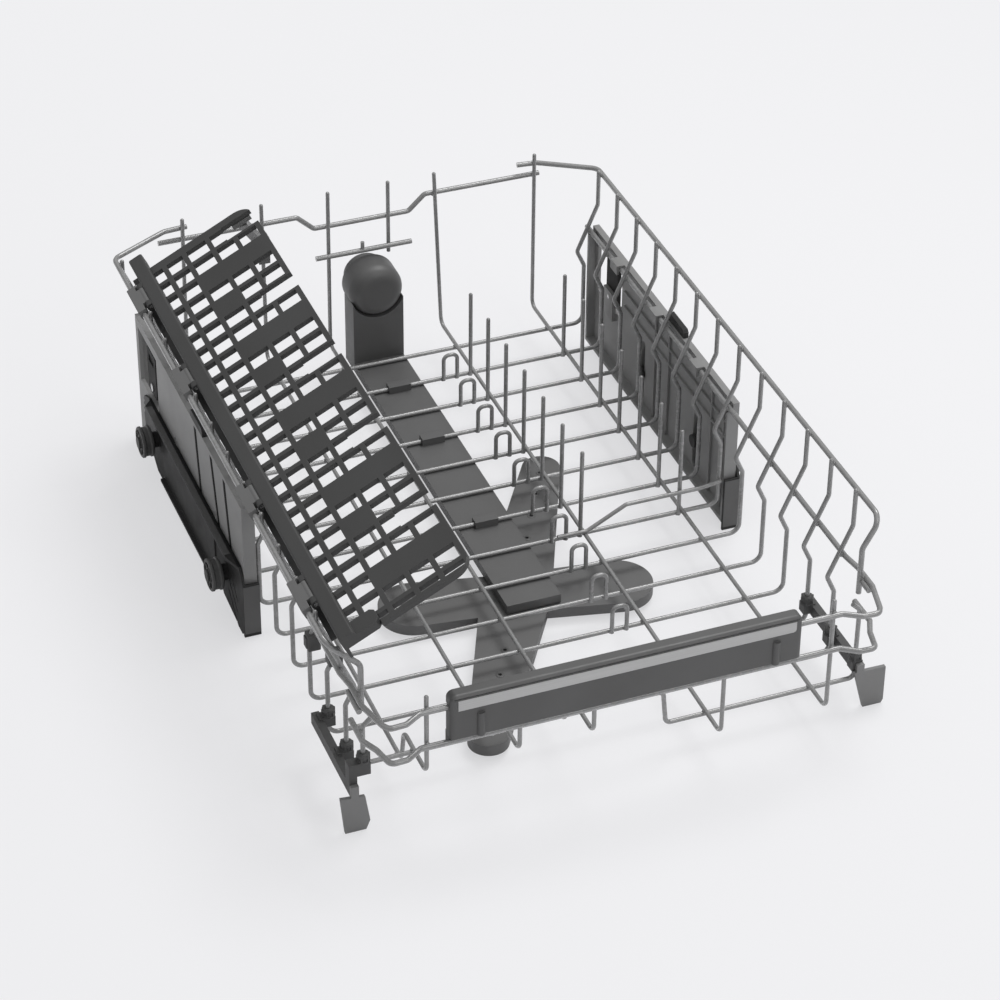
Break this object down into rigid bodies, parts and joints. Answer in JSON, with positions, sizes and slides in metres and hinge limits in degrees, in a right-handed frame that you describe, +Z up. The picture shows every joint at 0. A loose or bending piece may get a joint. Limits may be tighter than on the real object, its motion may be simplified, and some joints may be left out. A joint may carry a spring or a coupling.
{
  "type": "dishwasher rack",
  "caption": "Upper dishwasher rack: wire basket on rollers with height adjusters, folding cup shelf, plate tines, front handle and a spray arm beneath.",
  "frame": {"origin": "centre of the bounding box's underside, where the rack stands on its end plates and carriages", "axes": "+X to the rack's right as seen from its handle, +Y to the rear, +Z up"},
  "size_m": [0.3706, 0.5096, 0.1817],
  "materials": {
    "coated_wire": "satin grey coating",
    "dark_plastic": "fine-grained matt",
    "shelf_plastic": "fine-grained matt",
    "inlay_plastic": "satin",
    "clip_plastic": "satin",
    "panel_plastic": "matt",
    "carriage_plastic": "matt",
    "roller_plastic": "smooth",
    "lever_plastic": "smooth",
    "feed_plastic": "matt",
    "steel_pin": "turned"
  },
  "bodies": {
    "basket": {"ring_wire": "coated_wire", "front_wire": "coated_wire", "front_cross_wire": "coated_wire", "floor_cross_wires": "coated_wire", "floor_long_wires": "coated_wire", "rear_wire": "coated_wire", "rear_cross_wire": "coated_wire", "short_upright": "coated_wire", "short_arches": "coated_wire", "raised_cross_wire": "coated_wire", "rim_wire_left": "coated_wire", "rim_wire_right": "coated_wire", "wall_wires_left": "coated_wire", "wall_wires_right": "coated_wire", "side_wire_left": "coated_wire", "side_wire_right": "coated_wire", "plate_tines_left": "coated_wire", "plate_tines_right": "coated_wire", "handle_shell": "dark_plastic", "handle_inlay": "inlay_plastic", "shelf_clips": "clip_plastic", "shelf_stay": "shelf_plastic", "feed_nose": "feed_plastic", "feed_duct": "feed_plastic", "duct_clips": "feed_plastic", "bearing_nut": "feed_plastic", "adjuster_panel_left": "panel_plastic", "panel_catch_left": "lever_plastic", "lever_pin_left": "steel_pin", "guide_arm_left": "carriage_plastic", "guide_plate_left": "clip_plastic", "adjuster_panel_right": "panel_plastic", "panel_catch_right": "lever_plastic", "lever_pin_right": "steel_pin", "guide_arm_right": "carriage_plastic", "guide_plate_right": "clip_plastic"},
    "cup_shelf": {"shelf_bar": "shelf_plastic", "shelf_lattice": "shelf_plastic", "shelf_hinge_pins": "steel_pin"},
    "spray_arm": {"spray_arm": "feed_plastic"},
    "carriage_left": {"carriage_left": "carriage_plastic", "roller_axles_left": "steel_pin"},
    "release_lever_left": {"release_lever_left": "lever_plastic"},
    "roller_rear_left": {"roller_rear_left": "roller_plastic"},
    "roller_front_left": {"roller_front_left": "roller_plastic"},
    "carriage_right": {"carriage_right": "carriage_plastic", "roller_axles_right": "steel_pin"},
    "release_lever_right": {"release_lever_right": "lever_plastic"},
    "roller_rear_right": {"roller_rear_right": "roller_plastic"},
    "roller_front_right": {"roller_front_right": "roller_plastic"}
  },
  "joints": [
    {"name": "cup_shelf_fold", "type": "hinge", "parent": "basket", "child": "cup_shelf", "pos_m": [-0.17394, -0.00818, 0.1435], "axis": [0, -1, 0], "range_deg": [0, 58]},
    {"name": "spray_arm_turn", "type": "hinge", "parent": "basket", "child": "spray_arm", "pos_m": [0.00206, -0.05518, 0.0073], "axis": [0, 0, 1], "continuous": true},
    {"name": "carriage_left_height", "type": "slide", "parent": "basket", "child": "carriage_left", "axis": [0, 0, 1], "range_m": [-0.018, 0.022]},
    {"name": "release_lever_left_press", "type": "hinge", "parent": "basket", "child": "release_lever_left", "pos_m": [-0.16747, 0.18282, 0.0605], "axis": [-1, 0, 0], "range_deg": [0, 10], "stiffness_Nm_per_rad": 0.03, "springref_deg": -5.73},
    {"name": "roller_rear_left_turn", "type": "hinge", "parent": "carriage_left", "child": "roller_rear_left", "pos_m": [-0.17982, 0.16882, 0.028], "axis": [1, 0, 0], "continuous": true},
    {"name": "roller_front_left_turn", "type": "hinge", "parent": "carriage_left", "child": "roller_front_left", "pos_m": [-0.17982, 0.00982, 0.028], "axis": [1, 0, 0], "continuous": true},
    {"name": "carriage_right_height", "type": "slide", "parent": "basket", "child": "carriage_right", "axis": [0, 0, 1], "range_m": [-0.018, 0.022]},
    {"name": "release_lever_right_press", "type": "hinge", "parent": "basket", "child": "release_lever_right", "pos_m": [0.16747, 0.18282, 0.0605], "axis": [-1, 0, 0], "range_deg": [0, 10], "stiffness_Nm_per_rad": 0.03, "springref_deg": -5.73},
    {"name": "roller_rear_right_turn", "type": "hinge", "parent": "carriage_right", "child": "roller_rear_right", "pos_m": [0.17982, 0.16882, 0.028], "axis": [1, 0, 0], "continuous": true},
    {"name": "roller_front_right_turn", "type": "hinge", "parent": "carriage_right", "child": "roller_front_right", "pos_m": [0.17982, 0.00982, 0.028], "axis": [1, 0, 0], "continuous": true}
  ]
}
